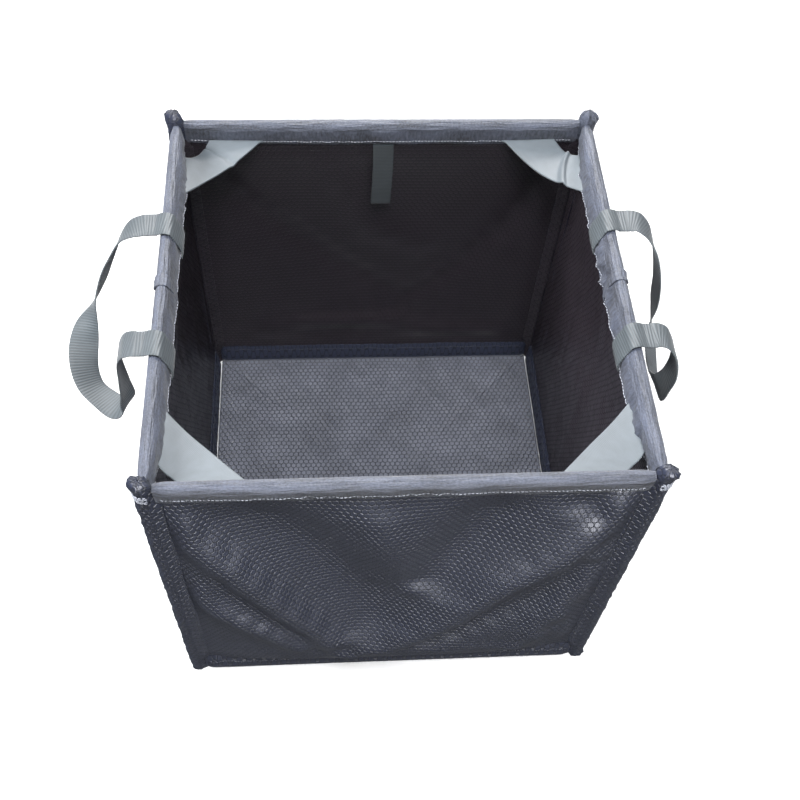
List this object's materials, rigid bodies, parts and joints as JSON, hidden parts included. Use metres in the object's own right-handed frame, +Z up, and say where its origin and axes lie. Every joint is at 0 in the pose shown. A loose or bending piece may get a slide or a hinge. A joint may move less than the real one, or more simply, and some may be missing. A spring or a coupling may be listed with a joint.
{
  "type": "rope storage bag",
  "caption": "Open-topped square cloth bag for rope, held square by rods in its hems, with webbing handles and corner straps. Its sides fold inwards so that it lies flat.",
  "frame": {"origin": "on the ground under the middle of the open bag", "axes": "+Z up, +X to the bag's right-hand handle, -Y towards its front"},
  "size_m": [0.5436, 0.406, 0.394],
  "materials": {
    "wall cloth": "coated nylon ripstop with a pressed hexagon pattern, soft sheen",
    "hem cloth": "wrinkled coated nylon, soft sheen",
    "floor cloth": "coated nylon with a pressed hexagon pattern, shinier than the walls",
    "webbing": "flat woven nylon webbing, matte",
    "dark webbing": "flat woven nylon webbing, matte",
    "rod": "glass-fibre rod, smooth"
  },
  "bodies": {
    "front_frame": {"front_bottom_rod": "rod", "front_bottom_sleeve": "hem cloth", "front_left_corner_rod": "rod", "front_left_corner_sleeve": "hem cloth", "front_left_corner_strap": "webbing", "front_right_corner_rod": "rod", "front_right_corner_sleeve": "hem cloth", "front_right_corner_strap": "webbing", "front_rim_rod": "rod", "front_rim_sleeve": "hem cloth", "front_wall": "wall cloth"},
    "left_front_half": {"left_front_half_bottom_rod": "rod", "left_front_half_bottom_sleeve": "hem cloth", "left_front_half_rim_rod": "rod", "left_front_half_rim_sleeve": "hem cloth", "left_front_half_wall": "wall cloth", "left_handle_front_tab": "webbing"},
    "left_back_half": {"left_back_half_bottom_rod": "rod", "left_back_half_bottom_sleeve": "hem cloth", "left_back_half_rim_rod": "rod", "left_back_half_rim_sleeve": "hem cloth", "left_back_half_wall": "wall cloth", "left_handle_back_tab": "webbing"},
    "back_frame": {"back_bottom_rod": "rod", "back_bottom_sleeve": "hem cloth", "back_left_corner_rod": "rod", "back_left_corner_sleeve": "hem cloth", "back_left_corner_strap": "webbing", "back_right_corner_rod": "rod", "back_right_corner_sleeve": "hem cloth", "back_right_corner_strap": "webbing", "back_rim_rod": "rod", "back_rim_sleeve": "hem cloth", "back_wall": "wall cloth"},
    "right_front_half": {"right_front_half_bottom_rod": "rod", "right_front_half_bottom_sleeve": "hem cloth", "right_front_half_rim_rod": "rod", "right_front_half_rim_sleeve": "hem cloth", "right_front_half_wall": "wall cloth", "right_handle_front_tab": "webbing"},
    "right_back_half": {"right_back_half_bottom_rod": "rod", "right_back_half_bottom_sleeve": "hem cloth", "right_back_half_rim_rod": "rod", "right_back_half_rim_sleeve": "hem cloth", "right_back_half_wall": "wall cloth", "right_handle_back_tab": "webbing"},
    "floor_front": {"floor_front_panel": "floor cloth"},
    "floor_back": {"floor_back_panel": "floor cloth"},
    "floor_left_front": {"floor_left_front_panel": "floor cloth"},
    "floor_left_back": {"floor_left_back_panel": "floor cloth"},
    "floor_right_front": {"floor_right_front_panel": "floor cloth"},
    "floor_right_back": {"floor_right_back_panel": "floor cloth"},
    "left_handle_neck": {"left_handle_neck": "webbing"},
    "left_handle": {"left_handle_loop": "webbing"},
    "right_handle_neck": {"right_handle_neck": "webbing"},
    "right_handle": {"right_handle_loop": "webbing"},
    "gear_loop": {"gear_loop": "dark webbing"}
  },
  "joints": [
    {"name": "fold", "type": "hinge", "parent": "front_frame", "child": "left_front_half", "pos_m": [-0.1907, -0.1907, 0.192], "axis": [0, 0, -1], "range_deg": [0, 88], "deforming": ["back_left_corner_strap", "back_right_corner_strap", "floor_left_back_panel", "floor_left_front_panel", "floor_right_back_panel", "floor_right_front_panel", "front_left_corner_strap", "front_right_corner_strap", "gear_loop", "left_handle_loop", "left_handle_neck", "right_handle_loop", "right_handle_neck"]},
    {"name": "left_mid_fold", "type": "hinge", "parent": "left_front_half", "child": "left_back_half", "pos_m": [-0.2033, 0, 0.192], "axis": [0, 0, 1], "range_deg": [0, 176]},
    {"name": "back_left_fold", "type": "hinge", "parent": "left_back_half", "child": "back_frame", "pos_m": [-0.1907, 0.1907, 0.192], "axis": [0, 0, -1], "range_deg": [0, 88]},
    {"name": "front_right_fold", "type": "hinge", "parent": "front_frame", "child": "right_front_half", "pos_m": [0.1907, -0.1907, 0.192], "axis": [0, 0, 1], "range_deg": [0, 88]},
    {"name": "right_mid_fold", "type": "hinge", "parent": "right_front_half", "child": "right_back_half", "pos_m": [0.2033, 0, 0.192], "axis": [0, 0, -1], "range_deg": [0, 176]},
    {"name": "floor_front_fold", "type": "hinge", "parent": "front_frame", "child": "floor_front", "pos_m": [0, -0.1907, 0.006], "axis": [1, 0, 0], "range_deg": [0, 88]},
    {"name": "floor_back_fold", "type": "hinge", "parent": "back_frame", "child": "floor_back", "pos_m": [0, 0.1907, 0.006], "axis": [-1, 0, 0], "range_deg": [0, 88]},
    {"name": "floor_left_front_fold", "type": "hinge", "parent": "left_front_half", "child": "floor_left_front", "pos_m": [-0.1907, -0.0953, 0.006], "axis": [0, -1, 0], "range_deg": [0, 88]},
    {"name": "floor_left_back_fold", "type": "hinge", "parent": "left_back_half", "child": "floor_left_back", "pos_m": [-0.1907, 0.0953, 0.006], "axis": [0, -1, 0], "range_deg": [0, 88]},
    {"name": "floor_right_front_fold", "type": "hinge", "parent": "right_front_half", "child": "floor_right_front", "pos_m": [0.1907, -0.0953, 0.006], "axis": [0, 1, 0], "range_deg": [0, 88]},
    {"name": "floor_right_back_fold", "type": "hinge", "parent": "right_back_half", "child": "floor_right_back", "pos_m": [0.1907, 0.0953, 0.006], "axis": [0, 1, 0], "range_deg": [0, 88]},
    {"name": "left_handle_twist", "type": "hinge", "parent": "left_front_half", "child": "left_handle_neck", "pos_m": [-0.2054, -0.065, 0.3829], "axis": [0, 0, 1], "range_deg": [0, 88]},
    {"name": "left_handle_swing", "type": "hinge", "parent": "left_handle_neck", "child": "left_handle", "pos_m": [-0.2144, 0, 0.3829], "axis": [0, 1, 0], "range_deg": [-30, 140]},
    {"name": "right_handle_twist", "type": "hinge", "parent": "right_front_half", "child": "right_handle_neck", "pos_m": [0.2054, -0.065, 0.3829], "axis": [0, 0, -1], "range_deg": [0, 88]},
    {"name": "right_handle_swing", "type": "hinge", "parent": "right_handle_neck", "child": "right_handle", "pos_m": [0.2144, 0, 0.3829], "axis": [0, -1, 0], "range_deg": [-30, 140]},
    {"name": "gear_loop_swing", "type": "hinge", "parent": "back_frame", "child": "gear_loop", "pos_m": [0, 0.1945, 0.3577], "axis": [1, 0, 0], "range_deg": [-80, 0]}
  ],
  "couplings": [
    {"joint": "left_mid_fold", "follows": "fold", "ratio": 2},
    {"joint": "back_left_fold", "follows": "fold", "ratio": 1},
    {"joint": "front_right_fold", "follows": "fold", "ratio": 1},
    {"joint": "right_mid_fold", "follows": "fold", "ratio": 2},
    {"joint": "floor_front_fold", "follows": "fold", "ratio": 1},
    {"joint": "floor_back_fold", "follows": "fold", "ratio": 1},
    {"joint": "floor_left_front_fold", "follows": "fold", "ratio": 1},
    {"joint": "floor_left_back_fold", "follows": "fold", "ratio": 1},
    {"joint": "floor_right_front_fold", "follows": "fold", "ratio": 1},
    {"joint": "floor_right_back_fold", "follows": "fold", "ratio": 1},
    {"joint": "left_handle_twist", "follows": "fold", "ratio": 1},
    {"joint": "right_handle_twist", "follows": "fold", "ratio": 1}
  ]
}
